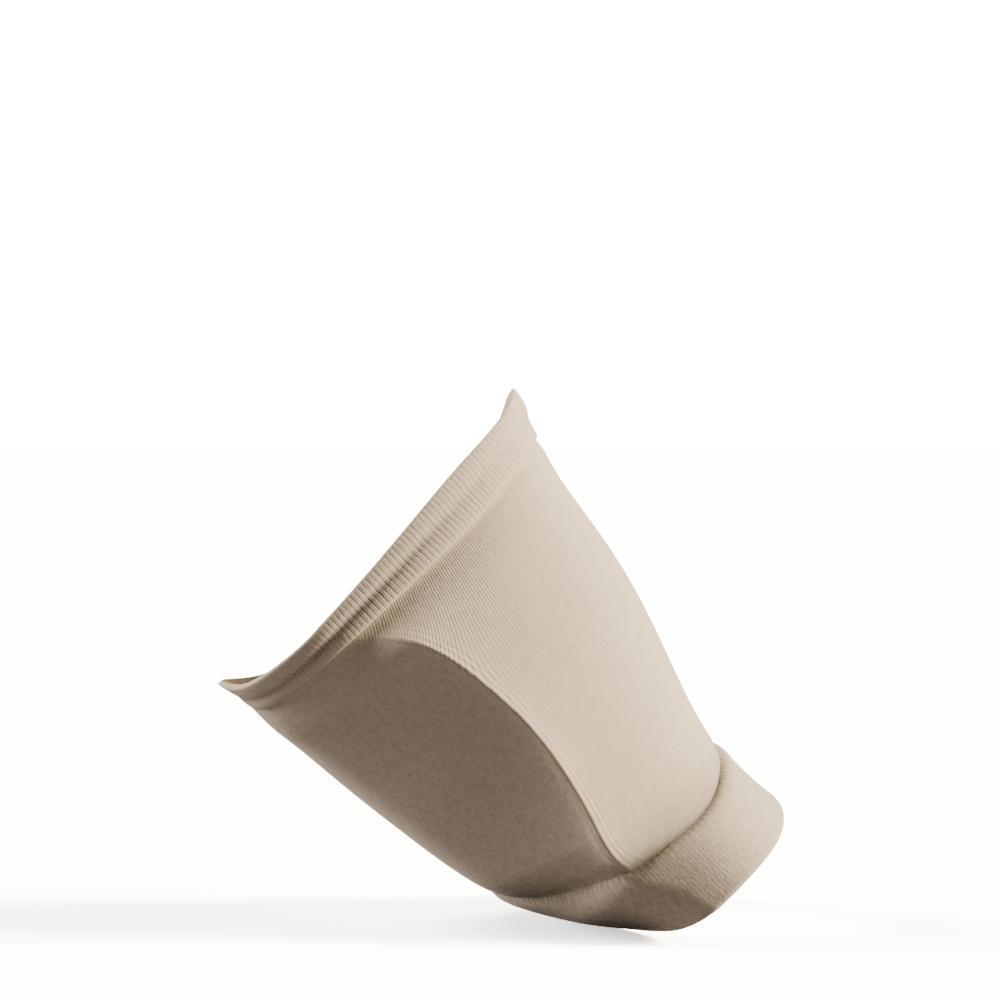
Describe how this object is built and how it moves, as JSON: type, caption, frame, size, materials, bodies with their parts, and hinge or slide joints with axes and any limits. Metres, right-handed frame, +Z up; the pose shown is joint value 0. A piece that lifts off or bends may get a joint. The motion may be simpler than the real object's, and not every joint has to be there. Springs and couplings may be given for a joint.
{
  "type": "arch support sleeve",
  "caption": "Knitted arch support sleeve in its worn form: ribbed rolled cuff, plain tube over a gel arch pad, doubled toe band",
  "frame": {"origin": "the middle of the hollow that the foot fills, halfway along the sleeve", "axes": "+X towards the toes, +Z up with the heel raised, +Y towards the outer side of a left foot"},
  "size_m": [0.1248, 0.0889, 0.1203],
  "materials": {
    "ribbed_knit": "beige ribbed knit, rolled at the edge",
    "plain_knit": "beige fine stocking knit, matt with a soft bloom",
    "band_knit": "beige doubled knit, slightly felted",
    "gel": "soft translucent gel with a satin skin"
  },
  "bodies": {
    "root": {"top_cuff": "ribbed_knit", "sleeve_body": "plain_knit", "toe_band": "band_knit", "arch_pad": "gel"}
  },
  "joints": []
}
